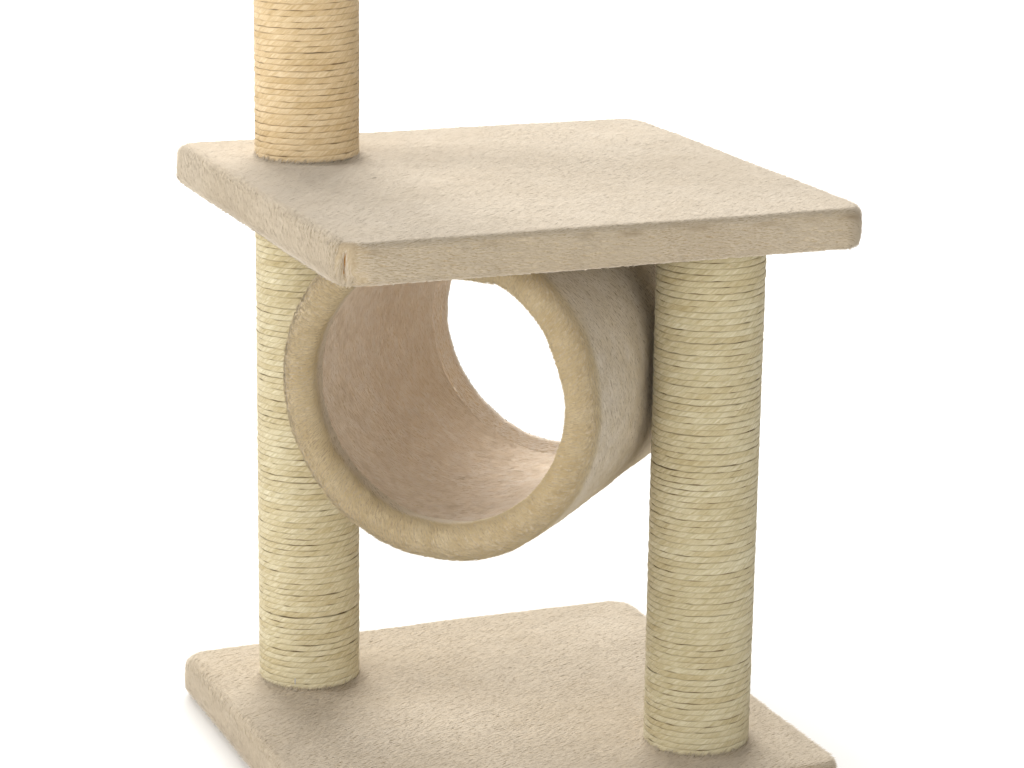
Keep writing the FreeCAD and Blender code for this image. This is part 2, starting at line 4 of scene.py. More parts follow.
import bmesh
import bpy
import numpy as np
from mathutils import Matrix, Vector


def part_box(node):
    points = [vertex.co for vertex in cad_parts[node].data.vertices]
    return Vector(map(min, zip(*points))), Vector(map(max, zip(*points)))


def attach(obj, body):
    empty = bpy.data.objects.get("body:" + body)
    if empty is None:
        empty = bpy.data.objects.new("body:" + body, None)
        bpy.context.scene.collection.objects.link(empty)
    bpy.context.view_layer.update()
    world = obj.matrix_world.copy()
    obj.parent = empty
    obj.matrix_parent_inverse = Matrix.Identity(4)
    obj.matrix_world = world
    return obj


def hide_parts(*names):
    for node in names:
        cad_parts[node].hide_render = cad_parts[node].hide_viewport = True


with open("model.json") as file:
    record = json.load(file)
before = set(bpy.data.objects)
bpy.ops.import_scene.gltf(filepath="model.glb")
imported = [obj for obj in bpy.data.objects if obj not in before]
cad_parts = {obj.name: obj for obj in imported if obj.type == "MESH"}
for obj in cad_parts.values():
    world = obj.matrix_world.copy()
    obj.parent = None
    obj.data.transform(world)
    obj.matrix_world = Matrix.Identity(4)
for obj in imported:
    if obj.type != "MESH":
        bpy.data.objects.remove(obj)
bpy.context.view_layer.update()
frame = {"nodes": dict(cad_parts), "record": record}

MM = 0.001


# ---------------------------------------------------------------- boards
# Base, platform and perch are 18 mm particle board: pressed wood chips, sawn square, left raw and bolted to
# the posts. Only the base's underside shows, inside the cover's folded hem.


def linear(code):
    """An sRGB hex colour as the linear numbers that a shader takes."""
    parts = [int(code[n : n + 2], 16) / 255 for n in (1, 3, 5)]
    return [*(c / 12.92 if c <= 0.04045 else ((c + 0.055) / 1.055) ** 2.4 for c in parts), 1.0]


def add(tree, kind, inputs, **settings):
    """Adds a shader node. inputs gives each socket its value, or the output that feeds it."""
    node = tree.nodes.new("ShaderNode" + kind)
    for name, value in settings.items():
        setattr(node, name, value)
    for name, value in inputs.items():
        if isinstance(value, bpy.types.NodeSocket):
            tree.links.new(value, node.inputs[name])
        else:
            node.inputs[name].default_value = value
    return node


def mix(tree, share, first, second, **settings):
    """Two colours mixed, or multiplied if the settings say so."""
    return add(tree, "Mix", {0: share, 6: first, 7: second}, data_type="RGBA", **settings).outputs[2]


def new_finish(name):
    """An empty material and its node tree."""
    made = bpy.data.materials.new(name)
    made.use_nodes = True
    made.node_tree.nodes.clear()
    return made, made.node_tree


def surface(tree, inputs):
    """Ends a material's tree in one Principled shader."""
    shader = add(tree, "BsdfPrincipled", inputs)
    add(tree, "OutputMaterial", {"Surface": shader.outputs[0]})


def wear(nodes, finish):
    """Gives CAD nodes a finish."""
    for name in nodes:
        slots = frame["nodes"][name].data.materials
        slots.clear()
        slots.append(finish)


def particle_board():
    """Raw particle board: flat chips 2 to 6 mm long, in straw and brown, matt and slightly pitted."""
    made, tree = new_finish("particle_board_sawn")
    place = add(tree, "TexCoord", {}).outputs["Object"]
    long_chips = add(tree, "Mapping", {"Vector": place, "Scale": (170, 420, 420)}).outputs[0]
    chips = add(tree, "TexVoronoi", {"Vector": long_chips, "Scale": 1.0})
    tint = add(tree, "SeparateColor", {0: chips.outputs["Color"]}).outputs[0]
    colour = mix(tree, tint, linear("#9a7448"), linear("#d3b183"))
    pits = add(tree, "Bump", {"Height": chips.outputs["Distance"], "Strength": 0.4, "Distance": 0.4 * MM})
    surface(tree, {"Base Color": colour, "Roughness": 0.85, "IOR": 1.45, "Normal": pits.outputs[0]})
    return made


wear(("base_board", "platform_board", "perch_board"), particle_board())


# ---------------------------------------------------------------- covers of base, platform and perch
# Each board is wrapped in one square of plush: knitted polyester backing with brushed pile, about 4 mm long.
# It is drawn over the edges, folded under and stapled. At the front left corner the spare cloth is tucked
# in, which leaves an upright dart with a puffed lip on each side.

PILE_DEPTH = 1.4 * MM
LOCKS_IN_A_PIECE = 49000
BRUSHED_RISE = 11.0
ROOT_SUNK = 0.3 * MM


def unit(vectors):
    """Rows of an array as unit vectors."""
    return vectors / np.maximum(np.linalg.norm(vectors, axis=-1, keepdims=True), 1e-12)


def lumps(points, across, seed):
    """Smooth noise from -1 to 1 at each point, in lumps about that far across."""
    table = np.random.default_rng(seed).uniform(-1, 1, 8192)
    scaled = points / across + 512.37
    cell = np.floor(scaled).astype(np.int64)
    inside = scaled - cell
    inside = inside * inside * (3 - 2 * inside)
    total = np.zeros(len(points))
    for corner in np.ndindex(2, 2, 2):
        at = cell + corner
        value = table[(at[:, 0] * 73856093 ^ at[:, 1] * 19349663 ^ at[:, 2] * 83492791) % 8192]
        total += value * np.prod(np.where(corner, inside, 1 - inside), axis=1)
    return total


def mesh_piece(name, points, faces, finish, weld=False):
    """A smooth mesh from points and a list of arrays of faces, each array with its own number of corners."""
    mesh = bpy.data.meshes.new(name)
    corners = np.concatenate([f.ravel() for f in faces]).astype(np.int32)
    counts = np.concatenate([np.full(len(f), f.shape[1]) for f in faces])
    mesh.vertices.add(len(points))
    mesh.vertices.foreach_set("co", np.asarray(points, np.float32).ravel())
    mesh.loops.add(len(corners))
    mesh.loops.foreach_set("vertex_index", corners)
    mesh.polygons.add(len(counts))
    mesh.polygons.foreach_set("loop_start", (np.cumsum(counts) - counts).astype(np.int32))
    mesh.update(calc_edges=True)
    if weld:
        work = bmesh.new()
        work.from_mesh(mesh)
        bmesh.ops.remove_doubles(work, verts=work.verts, dist=0.01 * MM)
        bmesh.ops.recalc_face_normals(work, faces=work.faces)
        work.to_mesh(mesh)
        work.free()
    mesh.validate()
    mesh.shade_smooth()
    mesh.materials.append(finish)
    piece = bpy.data.objects.new(name, mesh)
    bpy.context.scene.collection.objects.link(piece)
    return piece


def loop_of_rings(rings, around, closed=False):
    """Quads between rings of points, with that many points all round. closed joins the last to the first."""
    here = np.arange(around)
    after = (here + 1) % around
    quads = []
    for n in range(rings if closed else rings - 1):
        low, high = n * around, ((n + 1) % rings) * around
        quads.append(np.stack([low + here, low + after, high + after, high + here], 1))
    return np.concatenate(quads)


def normals_of(points, quads):
    """The normal at each point, averaged over its quads."""
    corners = points[quads]
    facing = np.cross(corners[:, 2] - corners[:, 0], corners[:, 3] - corners[:, 1])
    total = np.zeros_like(points)
    for n in range(4):
        np.add.at(total, quads[:, n], facing)
    return unit(total)


def spike_faces(count):
    """The faces of that many closed spikes, with three points at the root and one at the tip."""
    one = np.array([[0, 2, 1], [0, 1, 3], [1, 2, 3], [2, 0, 3]])
    return (np.arange(count)[:, None, None] * 4 + one).reshape(-1, 3)


def brushed(root):
    """How steeply brushed pile rises from its backing, in degrees."""
    return BRUSHED_RISE


def pile(
    name, points, quads, finish, comb, shade, keep, seed,
    apart=1.08 * MM, long=4.2 * MM, wide=0.72 * MM, rise=brushed, lowest=-1.0,
):
    """Locks of pile on a skin. comb gives the way each lies, shade its tone and keep whether it is there.
    rise is its slope in degrees, apart the gap between locks, and none reaches below the height lowest.

    A lock is a small leaning spike, closed at its root. Its map runs across by tone and up from root to tip.
    Its normals are nearly the skin's own, as light spreads inside real pile.
    """
    draw = np.random.default_rng(seed)
    corners = points[quads]
    across = np.cross(corners[:, 2] - corners[:, 0], corners[:, 3] - corners[:, 1])
    area = np.linalg.norm(across, axis=1) / 2
    count = int(area.sum() / apart**2)
    share = np.cumsum(area) / area.sum()
    chosen = np.searchsorted(share, (np.arange(count) + draw.random(count)) / count).clip(0, len(quads) - 1)
    u, v = draw.random((2, count, 1))
    weights = np.concatenate([(1 - u) * (1 - v), u * (1 - v), u * v, (1 - u) * v], 1)[:, :, None]
    root = (points[quads[chosen]] * weights).sum(1)
    out = unit((normals_of(points, quads)[quads[chosen]] * weights).sum(1))
    kept = keep(root, out)
    root, out = root[kept], out[kept]
    count = len(root)

    along = unit(comb(root, out))
    beside = np.cross(out, along)
    turn = 0.14 * lumps(root, 30 * MM, seed + 1) + 0.13 * lumps(root, 6 * MM, seed + 2)
    turn += draw.normal(0, 0.13, count)
    lying = along * np.cos(turn)[:, None] + beside * np.sin(turn)[:, None]
    lift = np.radians(rise(root)) * (1 + 0.15 * lumps(root, 9 * MM, seed + 3) + draw.normal(0, 0.2, count))
    way = lying * np.cos(lift)[:, None] + out * np.sin(lift)[:, None]
    length = (long * (1 + 0.1 * lumps(root, 6 * MM, seed + 4) + draw.normal(0, 0.15, count)))[:, None]
    side = unit(np.cross(way, out))
    ridge = np.cross(side, way)
    half = (wide / 2 * draw.uniform(0.7, 1.3, count))[:, None]
    foot = root - out * ROOT_SUNK
    tip = root + way * length
    spikes = np.stack([foot + side * half, foot - side * half, foot + ridge * half * 1.1, tip], 1)
    spikes[:, :, 2] = np.maximum(spikes[:, :, 2], lowest)
    stray = draw.normal(0, 0.045, (count, 3))
    leans = np.stack([out + 0.1 * side, out - 0.1 * side, out + 0.05 * ridge, out + 0.06 * way], 1)
    facing = unit(leans + stray[:, None])
    tone = shade(root, out) + draw.normal(0, 0.035, count)
    tone = tone.clip(0.03, 0.97)

    made = []
    for part, start in enumerate(range(0, count, LOCKS_IN_A_PIECE)):
        some = slice(start, start + LOCKS_IN_A_PIECE)
        number = len(spikes[some])
        faces = spike_faces(number)
        piece = mesh_piece(f"{name}_{part + 1}", spikes[some].reshape(-1, 3), [faces], finish)
        layout = np.zeros((number, 4, 2))
        layout[:, :, 0] = tone[some][:, None] + np.array([-0.004, 0.004, 0, 0])
        layout[:, :, 1] = np.array([0.02, 0.02, 0.08, 0.98])
        chart = piece.data.uv_layers.new(name="tone_and_tip")
        chart.uv.foreach_set("vector", layout.reshape(-1, 2)[faces.ravel()].astype(np.float32).ravel())
        piece.data.normals_split_custom_set_from_vertices(facing[some].reshape(-1, 3).tolist())
        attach(piece, "root")
        made.append(piece)
    return made


def plush_pile(name, dark, middle, light, halo=0.45, halo_tint="#fff6ea"):
    """Brushed polyester pile: matt and soft, with the pale edge that velvet has. Each lock is painted darker
    towards its root, as painted shade deep in the pile.
    """
    made, tree = new_finish(name)
    chart = add(tree, "UVMap", {}, uv_map="tone_and_tip").outputs[0]
    parts = add(tree, "SeparateXYZ", {0: chart}).outputs
    low = add(tree, "MapRange", {"Value": parts[0], "From Min": 0.0, "From Max": 0.5}).outputs[0]
    high = add(tree, "MapRange", {"Value": parts[0], "From Min": 0.5, "From Max": 1.0}).outputs[0]
    colour = mix(tree, low, linear(dark), linear(middle))
    colour = mix(tree, high, colour, linear(light))
    # Painted shade: each lock darkens towards its root, where little light reaches inside the pile.
    root_shade = add(tree, "MapRange", {"Value": parts[1], "To Min": 0.9, "To Max": 1.0}).outputs[0]
    shaded = mix(tree, 1.0, colour, root_shade, blend_type="MULTIPLY")
    surface(
        tree,
        {
            "Base Color": shaded,
            "Roughness": 0.9,
            "IOR": 1.45,
            "Specular IOR Level": 0.15,
            "Sheen Weight": halo,
            "Sheen Roughness": 0.45,
            "Sheen Tint": linear(halo_tint),
        },
    )
    return made


def plush_backing(name, dark, light):
    """The pile's roots and the knit between them, in the pile's colour. The 1 mm knit is drawn at 1.7 mm."""
    made, tree = new_finish(name)
    place = add(tree, "TexCoord", {}).outputs["Object"]
    blotch = add(tree, "TexNoise", {"Vector": place, "Scale": 22.0, "Detail": 4.0}).outputs[0]
    nap = add(tree, "TexNoise", {"Vector": place, "Scale": 600.0, "Detail": 2.0}).outputs[0]
    mixed = add(tree, "Math", {0: blotch, 1: nap}, operation="MULTIPLY").outputs[0]
    spread = add(tree, "MapRange", {"Value": mixed, "From Min": 0.12, "From Max": 0.4}).outputs[0]
    colour = mix(tree, spread, linear(dark), linear(light))
    rough = add(tree, "Bump", {"Height": nap, "Strength": 0.5, "Distance": 0.6 * MM}).outputs[0]
    surface(
        tree,
        {
            "Base Color": colour,
            "Roughness": 0.95,
            "IOR": 1.45,
            "Specular IOR Level": 0.1,
            "Sheen Weight": 0.2,
            "Sheen Roughness": 0.5,
            "Normal": rough,
        },
    )
    return made


beige_pile = plush_pile("plush_pile_beige", "#9f8c72", "#c8b89f", "#e2d6c3")
beige_backing = plush_backing("plush_backing_beige", "#a59275", "#c0b095")


def width(node):
    """A CAD node's size along X."""
    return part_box(node)[1][0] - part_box(node)[0][0]


CORNER = 19 * MM
BOARD_CORNER = 14 * MM
CORNER_STEPS = 24
EDGE = 5.5 * MM
BOARD_INSET = 4.9 * MM
HEM = (width("base_cover") - width("platform_under_panel")) / 2
HEM_PILE = 1.0 * MM
HEM_FOLD = 1.5 * MM
HEM_FACING = -0.72
SKIN_STEP = 2.5 * MM
POST_FOOT = 35 * MM


def bell(distance, spread, power=2):
    """A smooth hump: 1 in the middle, and close to 0 at twice the spread."""
    return np.exp(-((distance / spread) ** power))


def corners_of(node):
    """A CAD node's lowest and highest corner."""
    return [np.array(corner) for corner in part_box(node)]


def level_of(points, low, high):
    """How far up each point lies between two corners, from 0 to 1."""
    return (points[:, 2] - low[2]) / (high[2] - low[2])


def from_post(points, post):
    """How far each point lies from a post's upright axis."""
    return np.linalg.norm(points[:, :2] - np.array(post), axis=1)


def middles_of(piece):
    """The middle of each face of a piece."""
    middles = np.empty(3 * len(piece.data.polygons))
    piece.data.polygons.foreach_get("center", middles)
    return middles.reshape(-1, 3)


def second_finish(piece, finish, chosen):
    """Gives the chosen faces of a piece a finish of their own."""
    piece.data.materials.append(finish)
    piece.data.polygons.foreach_set("material_index", chosen.astype(np.int32))


def square_ring(half, corner, inset, height, on_side):
    """One ring of points round a square with rounded corners, drawn in from the edge by inset."""
    radius = max(corner - inset, 0)
    flat = half - inset - radius
    run = -flat + 2 * flat * np.arange(on_side) / on_side
    turn = np.radians(90) * np.arange(CORNER_STEPS) / CORNER_STEPS
    x = np.concatenate([np.full(on_side, flat + radius), flat + radius * np.cos(turn)])
    y = np.concatenate([run, flat + radius * np.sin(turn)])
    quarters = [(x, y), (-y, x), (-x, -y), (y, -x)]
    return np.concatenate([np.stack([a, b, np.full(len(a), height)], 1) for a, b in quarters])


def arc(centre, radius, start, end, steps):
    """Points of a round stretch of a section, between two angles in degrees, without its first point."""
    turns = np.radians(start + (end - start) * np.arange(1, steps + 1) / steps)
    return [(centre[0] + radius * math.cos(t), centre[1] + radius * math.sin(t)) for t in turns]


def straight(start, end, step):
    """Points of a straight stretch of a section, without its first point."""
    steps = max(1, round(math.dist(start, end) / step))
    return [tuple(np.add(start, np.subtract(end, start) * n / steps)) for n in range(1, steps + 1)]


def cover_skin(low, high, seed, feet):
    """The cloth of one cover: its outer side, displaced, its quads there, and all its faces."""
    half = (high[0] - low[0]) / 2 - PILE_DEPTH
    top, bottom = high[2] - PILE_DEPTH, low[2] + HEM_PILE
    on_side = round(2 * (half - CORNER) / SKIN_STEP)
    section = [(CORNER, top)]
    section += straight(section[-1], (EDGE, top), SKIN_STEP)
    section += arc((EDGE, top - EDGE), EDGE, 90, 180, 7)
    section += straight(section[-1], (0, bottom + EDGE), SKIN_STEP)
    section += arc((EDGE, bottom + EDGE), EDGE, 180, 270, 6)
    hem = HEM - PILE_DEPTH
    section += straight(section[-1], (hem - HEM_FOLD, bottom), 1.4 * SKIN_STEP)
    outer_rings = len(section)
    board_side, board_bottom = BOARD_INSET - PILE_DEPTH, low[2] + BOARD_INSET
    section += [(hem, bottom + HEM_FOLD), (hem, board_bottom)]
    section += [(board_side, board_bottom), (board_side, high[2] - BOARD_INSET)]
    rings = [
        square_ring(half, BOARD_CORNER if n >= len(section) - 2 else CORNER, inset, z, on_side)
        for n, (inset, z) in enumerate(section)
    ]
    around = len(rings[0])
    steps = -(half - CORNER) + 2 * (half - CORNER) * np.arange(on_side + 1) / on_side
    grid = np.stack(np.meshgrid(steps, steps, indexing="ij"), -1).reshape(-1, 2)
    grid = np.concatenate([grid, np.full((len(grid), 1), top)], 1)
    points = np.concatenate([*rings, grid])
    points[:, :2] += ((low + high) / 2)[:2]

    first = len(rings) * around
    cell = (np.arange(on_side)[:, None] * (on_side + 1) + np.arange(on_side)[None, :] + first).reshape(-1)
    cap = np.stack([cell, cell + on_side + 1, cell + on_side + 2, cell + 1], 1)
    outside = np.concatenate([loop_of_rings(outer_rings, around)[:, ::-1], cap])
    inside = loop_of_rings(len(rings), around)[(outer_rings - 1) * around :, ::-1]
    lid = np.arange((len(rings) - 1) * around, len(rings) * around)[None, ::-1]
    points = drawn_over(points, outside, low, high, seed, feet)
    return points, outside, [outside, inside, lid]


def round_the_corner(points, low):
    """How far points lie along the edge from the tucked corner's middle, and how surely they are on it."""
    corner = np.array([low[0] + CORNER, low[1] + CORNER])
    away = points[:, :2] - corner
    turned = np.arctan2(away[:, 1], away[:, 0]) + math.radians(135)
    turned = (turned + math.pi) % (2 * math.pi) - math.pi
    reach = np.linalg.norm(away, axis=1)
    near = np.clip((reach - 0.45 * CORNER) / (0.4 * CORNER), 0, 1) * (np.abs(turned) < math.radians(70))
    return turned * CORNER, near


def drawn_over(points, outside, low, high, seed, feet):
    """The skin as cloth lies on a board: slack, a swollen edge that is rolled in front, the tuck, and a
    bulge round each post's foot."""
    out = normals_of(points, outside)
    thick = high[2] - low[2]
    level = level_of(points, low, high)
    upright = np.clip(1 - np.abs(out[:, 2]) * 1.5, 0, 1)
    slack = 0.6 * MM * lumps(points, 55 * MM, seed) + 0.16 * MM * lumps(points, 14 * MM, seed + 1)
    slack += 0.07 * MM * lumps(points, 5 * MM, seed + 2)
    slack *= 0.25 + 0.75 * np.clip((points[:, 2] - low[2]) / (0.25 * thick), 0, 1)
    swell = 0.8 * MM * bell(level - 0.45, 0.3) * upright
    broken = np.clip(0.1 + 1.4 * lumps(points * (0.35, 1, 1), 7 * MM, seed + 3), 0, 1)
    roll = -1.3 * MM * bell(level - 0.74, 0.06) * np.clip(-out[:, 1], 0, 1) * broken
    tufts = 0.7 * MM * lumps(points * (0.6, 1, 1), 8 * MM, seed + 5) * bell(level - 0.93, 0.12) * upright
    along, near = round_the_corner(points, low)
    waver = along + 0.8 * MM * lumps(points, 9 * MM, seed + 4)
    height = bell(level - 0.5, 0.27, 4)
    dart = -4.5 * MM * bell(waver, 1.15 * MM) * near * height
    lips = 1.5 * MM * bell(np.abs(waver) - 5 * MM, 4 * MM) * near * height
    bulge = np.zeros(len(points))
    for foot in feet:
        gap = np.maximum(from_post(points, foot) - POST_FOOT, 0)
        bulge += 0.9 * MM * bell(gap, 2.5 * MM) * (points[:, 2] > high[2] - 0.3 * thick)
    return points + out * (slack + swell + roll + tufts + dart + lips + bulge)[:, None]


def comb_plate(root, out):
    """The cloth's nap runs along X, up the left side, over the top and down the right side."""
    way = np.stack([out[:, 2], np.zeros(len(out)), -out[:, 0]], 1)
    way[:, 0] += (1 - np.abs(out[:, 0])) * out[:, 1] ** 2
    return way + 1e-4


def tucked_cloth_and_shade():
    """The bare backing in the tuck, unbrushed, drawn dark orange brown: partly the backing's own colour and
    partly painted shade in the deep slit. Its 1 mm knit is drawn at 1.4 mm.
    """
    made, tree = new_finish("plush_backing_tucked_and_shaded")
    place = add(tree, "TexCoord", {}).outputs["Object"]
    knit = add(tree, "TexNoise", {"Vector": place, "Scale": 700.0, "Detail": 2.0}).outputs[0]
    colour = mix(tree, knit, linear("#8a5a24"), linear("#c2945a"))
    surface(tree, {"Base Color": colour, "Roughness": 0.95, "IOR": 1.45, "Specular IOR Level": 0.1})
    return made


tuck_backing_and_shade = tucked_cloth_and_shade()


def post_centres(tubes):
    """Where posts stand, from their cardboard tubes."""
    return [tuple(((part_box(tube)[0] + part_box(tube)[1]) / 2)[:2]) for tube in tubes]


def plate_cover(node, seed, standing):
    """One cover, skin and pile, on its board. standing are the tubes of the posts on top of it."""
    low, high = corners_of(node)
    thick = high[2] - low[2]
    feet = post_centres(standing)
    points, outside, faces = cover_skin(low, high, seed, feet)
    piece = mesh_piece(node + "_cloth", points, faces, beige_backing, weld=True)
    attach(piece, "root")
    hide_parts(node)

    def in_the_tuck(points, half_width, half_height):
        """Whether points lie within a patch in the middle of the tuck."""
        along, near = round_the_corner(points, low)
        level = level_of(points, low, high)
        return (np.abs(along) < half_width) & (near > 0.4) & (np.abs(level - 0.5) < half_height)

    # The middle of the tuck is the backing's colour darkened with painted shade in the slit.
    second_finish(piece, tuck_backing_and_shade, in_the_tuck(middles_of(piece), 1.3 * MM, 0.2))

    def comb(root, out):
        """The nap runs along X, and is drawn downwards on both lips of the tuck."""
        along, near = round_the_corner(root, low)
        lip = (near * bell(along, 6 * MM, 4))[:, None]
        return comb_plate(root, out) * (1 - lip) + np.array([0, 0, -1.0]) * lip

    def shade(root, out):
        """Tone of a lock: blotched, with painted shade down the sides and on the hem, round the foot of a
        post and in the front edge's roll.
        """
        tone = 0.60 + 0.09 * lumps(root, 75 * MM, seed + 7) + 0.06 * lumps(root, 24 * MM, seed + 8)
        # Painted shade: the sides and the hem are darker than the top.
        tone -= 0.10 * (1 - np.clip(out[:, 2], 0, 1))
        # Painted shade on the top round the foot of each post.
        for foot in feet:
            gap = np.maximum(from_post(root, foot) - POST_FOOT, 0)
            tone -= 0.07 * bell(gap, 12 * MM) * (out[:, 2] > 0.5)
        # Painted shade in broken stretches along the roll under the front's top edge.
        broken = np.clip(0.1 + 1.3 * lumps(root * (0.4, 1, 1), 6 * MM, seed + 9), 0, 1)
        rolled = bell(level_of(root, low, high) - 0.8, 0.07)
        return tone - 0.45 * broken * rolled * np.clip(-out[:, 1], 0, 1)

    def rise(root):
        """Brushed flat, and standing up against the foot of a post."""
        steep = np.full(len(root), BRUSHED_RISE)
        for foot in feet:
            gap = np.abs(from_post(root, foot) - POST_FOOT)
            steep += 48 * bell(gap, 2.6 * MM) * (root[:, 2] > low[2] + 0.6 * thick)
        return steep

    def keep(root, out):
        """No pile stands under a post, in the tuck, or on the hem, which has its own flatter pile."""
        free = out[:, 2] > HEM_FACING
        for foot in feet:
            under_post = from_post(root, foot) < POST_FOOT - 0.5 * MM
            free &= ~(under_post & (root[:, 2] > low[2] + 0.6 * thick))
        return free & ~in_the_tuck(root, 0.95 * MM, 0.22)

    def keep_hem(root, out):
        """The hem's side, which faces down."""
        return out[:, 2] <= HEM_FACING

    lowest = low[2] + 0.2 * MM
    locks = pile(
        node + "_pile", points, outside, beige_pile, comb, shade, keep, seed + 20, rise=rise, lowest=lowest
    )
    locks += pile(
        node + "_hem_pile", points, outside, beige_pile, comb_plate, shade, keep_hem, seed + 30,
        apart=2.4 * MM, long=4 * MM, wide=1.3 * MM, rise=lambda root: 3.0, lowest=lowest,
    )


plate_cover("base_cover", 100, ("left_post_tube", "right_post_tube"))
plate_cover("platform_cover", 200, ("upper_post_tube",))
plate_cover("perch_cover", 300, ())


# ---------------------------------------------------------------- panels under platform and perch
# A plain square of the same plush, glued under the board inside the hem, pile side down. The posts below
# press against it.

PANEL_STEP = 3 * MM
PANEL_GAP = 0.2 * MM


def under_panel(node, seed, holders):
    """One panel: a thin closed slab of cloth with short flat pile on its lower side."""
    low, high = corners_of(node)
    steps = round((high[0] - low[0]) / PANEL_STEP)
    share = np.arange(steps + 1)
    x, y = (low[n] + PANEL_GAP + (high[n] - low[n] - 2 * PANEL_GAP) * share / steps for n in (0, 1))
    flat = np.stack(np.meshgrid(x, y, indexing="ij"), -1).reshape(-1, 2)
    lower = np.concatenate([flat, np.full((len(flat), 1), low[2] + 1.2 * MM)], 1)
    lower[:, 2] += 0.35 * MM * lumps(lower, 12 * MM, seed)
    upper = np.concatenate([flat, np.full((len(flat), 1), high[2] - 0.1 * MM)], 1)
    cell = (np.arange(steps)[:, None] * (steps + 1) + np.arange(steps)[None, :]).reshape(-1)
    down = np.stack([cell, cell + 1, cell + steps + 2, cell + steps + 1], 1)
    edge = np.concatenate(
        [
            np.arange(steps) * (steps + 1),
            steps * (steps + 1) + np.arange(steps),
            (steps - np.arange(steps)) * (steps + 1) + steps,
            steps - np.arange(steps),
        ]
    )
    count = len(flat)
    after = np.roll(edge, -1)
    sides = np.stack([edge, after, after + count, edge + count], 1)
    points = np.concatenate([lower, upper])
    faces = [down, down[:, ::-1] + count, sides]
    piece = mesh_piece(node + "_cloth", points, faces, beige_backing, weld=True)
    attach(piece, "root")
    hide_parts(node)
    posts = post_centres(holders)

    def keep(root, out):
        """No pile where a post stands against the panel."""
        free = np.ones(len(root), bool)
        for post in posts:
            free &= from_post(root, post) > POST_FOOT + 0.5 * MM
        return free

    locks = pile(
        node + "_pile", points, down, beige_pile, lambda root, out: np.tile([1.0, 0, 0], (len(root), 1)),
        lambda root, out: 0.45 + 0.2 * lumps(root, 50 * MM, seed + 7), keep, seed + 20,
        apart=2.4 * MM, long=4.2 * MM, wide=1.3 * MM, rise=lambda root: 5.0,
    )


under_panel("platform_under_panel", 400, ("left_post_tube", "right_post_tube"))
under_panel("perch_under_panel", 500, ("upper_post_tube",))


# ---------------------------------------------------------------- cardboard tubes and wooden plugs
# The posts and the tunnel are spiral-wound cardboard tubes, and a turned softwood plug is pressed into each
# end of a post's tube. All of them are covered. A post's cardboard shows only in thin gaps in the rope.


def kraft_cardboard():
    """Kraft paper wound on a slant: plain brown and matt, with faint long streaks about 1 mm wide."""
    made, tree = new_finish("kraft_cardboard_wound")
    place = add(tree, "TexCoord", {}).outputs["Object"]
    stretched = {"Vector": place, "Rotation": (0.5, 0.2, 0), "Scale": (60, 60, 900)}
    slant = add(tree, "Mapping", stretched).outputs[0]
    fibres = add(tree, "TexNoise", {"Vector": slant, "Scale": 1.0, "Detail": 5.0}).outputs[0]
    colour = mix(tree, fibres, linear("#6f5333"), linear("#a27f55"))
    bump = add(tree, "Bump", {"Height": fibres, "Strength": 0.3, "Distance": 0.2 * MM}).outputs[0]
    surface(tree, {"Base Color": colour, "Roughness": 0.8, "IOR": 1.5, "Normal": bump})
    return made


def turned_softwood():
    """Softwood turned across its end grain: pale rings 2 to 3 mm wide, unsealed and dull."""
    made, tree = new_finish("softwood_turned")
    place = add(tree, "TexCoord", {}).outputs["Object"]
    rings = add(
        tree,
        "TexWave",
        {"Vector": place, "Scale": 120.0, "Distortion": 6.0, "Detail": 3.0, "Detail Scale": 0.4},
        wave_type="RINGS",
        rings_direction="Z",
    ).outputs[1]
    colour = mix(tree, rings, linear("#b98f5c"), linear("#dcbd8b"))
    bump = add(tree, "Bump", {"Height": rings, "Strength": 0.15, "Distance": 0.2 * MM}).outputs[0]
    surface(tree, {"Base Color": colour, "Roughness": 0.7, "IOR": 1.5, "Normal": bump})
    return made


POSTS = ("left_post", "right_post", "upper_post")
wear([post + "_tube" for post in POSTS] + ["tunnel_tube"], kraft_cardboard())
wear([post + end for post in POSTS for end in ("_bottom_plug", "_top_plug")], turned_softwood())


# ---------------------------------------------------------------- sisal rope on the posts
# Each post is wound with one length of three-strand sisal, 4.5 mm thick, glued turn against turn and stapled
# at both ends. It is pulled tight, so the turns press each other nearly square, with dark gaps between them.

UP = np.array([0, 0, 1.0])
ROPE = 4.5 * MM
ROPE_LAY = 40 * MM
TURN_PITCH = 4.0 * MM
STEPS_IN_A_TURN = 96
ROUND_A_ROPE = 12
STRAND_RIDGE = 0.065
ROPE_SQUASH = 0.3
ROPE_SINK = 3.0 * MM
HAIRS_ON_A_POST = 1500
HAIR_GIRTH = 0.13 * MM


def slow_wave(along, across, seed):
    """Smooth noise from -1 to 1 on a line."""
    return lumps(np.stack([along, np.zeros_like(along), np.zeros_like(along)], 1), across, seed)


